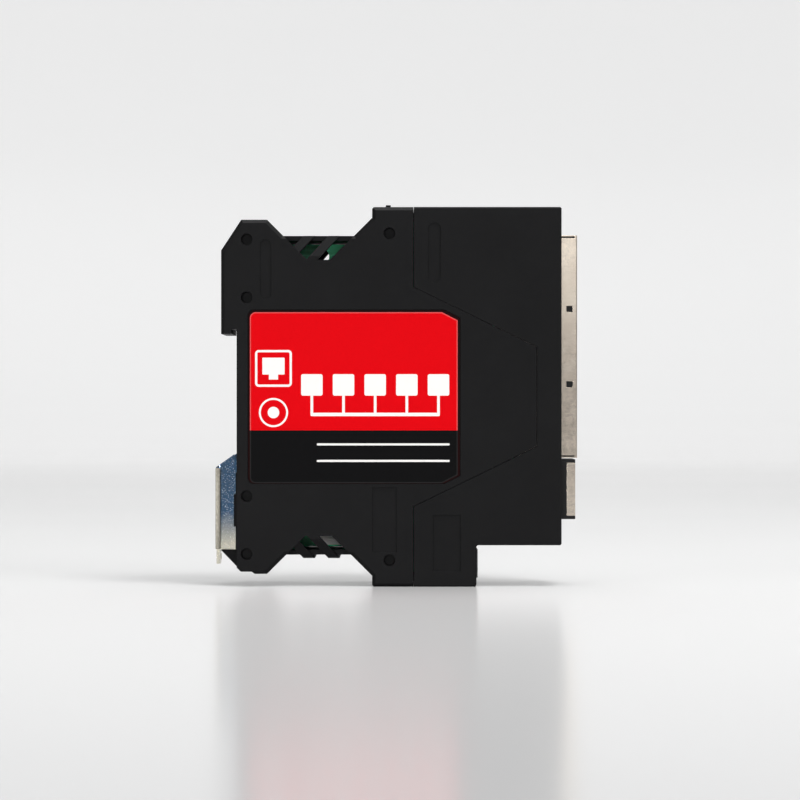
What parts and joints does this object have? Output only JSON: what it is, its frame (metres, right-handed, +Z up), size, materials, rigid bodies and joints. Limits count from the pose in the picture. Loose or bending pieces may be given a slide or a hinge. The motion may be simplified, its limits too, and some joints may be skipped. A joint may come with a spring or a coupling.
{
  "type": "din rail ethernet switch",
  "caption": "Slim black network switch: two-part housing with slanting vents, front hood with shielded ports, terminal bay and a sprung steel foot catch for a mounting rail.",
  "frame": {"origin": "in the plane where the rail's front face rests, at mid-width, level with the rail's centre line", "axes": "+X out of the ports, +Z up with the hook above and the catch below, label side at -Y"},
  "size_m": [0.0947, 0.0226, 0.0996],
  "materials": {
    "housing_polyamide": "moulded, fine spark-eroded grain",
    "label_film": "printed polyester film",
    "zinc_steel": "blue zinc plate",
    "spring_steel": "drawn wire",
    "board_laminate": "green solder mask",
    "nickel_sheet": "nickel plated sheet",
    "jack_plastic": "moulded",
    "gold_contacts": "gold flash",
    "light_lens": "clear tinted",
    "header_plastic": "moulded",
    "tinned_pins": "tin plate",
    "chip_plastic": "epoxy",
    "ferrite": "sintered",
    "can_aluminium": "drawn can",
    "chip_ceramic": "fired"
  },
  "bodies": {
    "housing": {"near_shell": "housing_polyamide", "far_shell": "housing_polyamide", "front_hood": "housing_polyamide", "side_label": "label_film", "catch_spring": "spring_steel", "circuit_board": "board_laminate", "quad_jack_shield": "nickel_sheet", "quad_jack_body": "jack_plastic", "quad_jack_contacts": "gold_contacts", "quad_jack_lights": "light_lens", "single_jack_shield": "nickel_sheet", "single_jack_body": "jack_plastic", "single_jack_contacts": "gold_contacts", "single_jack_lights": "light_lens", "power_header": "header_plastic", "power_header_pins": "tinned_pins", "switch_chip": "chip_plastic", "switch_chip_leads": "tinned_pins", "clock_crystal": "tinned_pins", "setup_memory": "chip_plastic", "voltage_regulator": "chip_plastic", "power_inductor": "ferrite", "input_capacitor": "can_aluminium", "output_capacitor": "can_aluminium", "input_fuse": "chip_plastic", "input_diode": "chip_plastic", "surge_suppressor": "chip_plastic", "ceramic_capacitors": "chip_ceramic", "chip_resistors": "chip_ceramic", "port_transformer_1": "chip_plastic", "port_transformer_2": "chip_plastic", "port_transformer_3": "chip_plastic", "port_transformer_4": "chip_plastic", "port_transformer_5": "chip_plastic"},
    "catch": {"foot_catch": "zinc_steel"}
  },
  "joints": [
    {"name": "catch_slide", "type": "slide", "parent": "housing", "child": "catch", "axis": [0, 0, -1], "range_m": [0, 0.0035], "stiffness_N_per_m": 1500, "springref_m": -0.005, "deforming": ["catch_spring"]}
  ]
}
